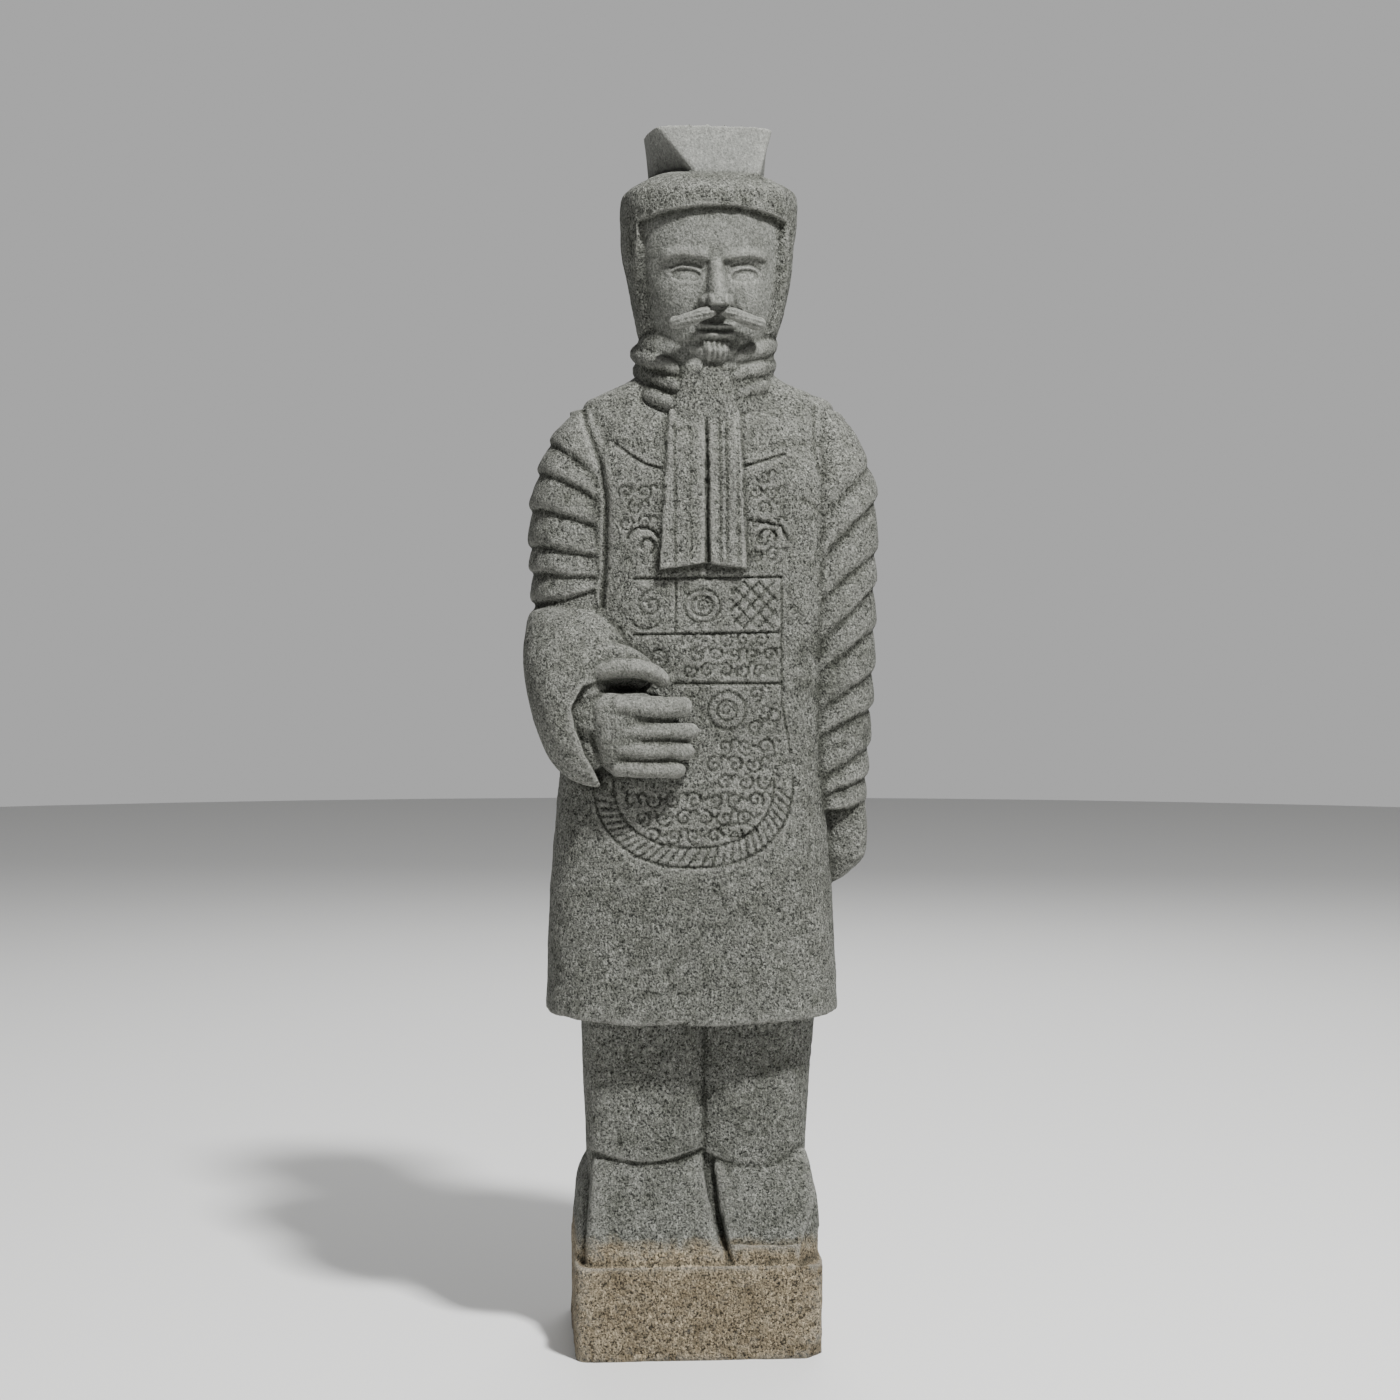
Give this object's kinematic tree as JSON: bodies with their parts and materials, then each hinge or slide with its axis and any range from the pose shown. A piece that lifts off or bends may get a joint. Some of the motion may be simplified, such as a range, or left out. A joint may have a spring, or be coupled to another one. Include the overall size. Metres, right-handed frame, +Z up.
{
  "type": "stone warrior statue",
  "caption": "Standing robed warrior with a tall cap, carved with its square plinth from one block of grey stone, one hand held across the belly.",
  "frame": {"origin": "centre of the plinth's underside, on the ground", "axes": "+Z up, the figure faces -Y, +X towards the figure's left hand"},
  "size_m": [0.4451, 0.2812, 1.5035],
  "materials": {
    "stone": "point-chiselled volcanic stone, matt, with earth staining on the plinth"
  },
  "bodies": {
    "root": {"warrior_statue": "stone"}
  },
  "joints": []
}
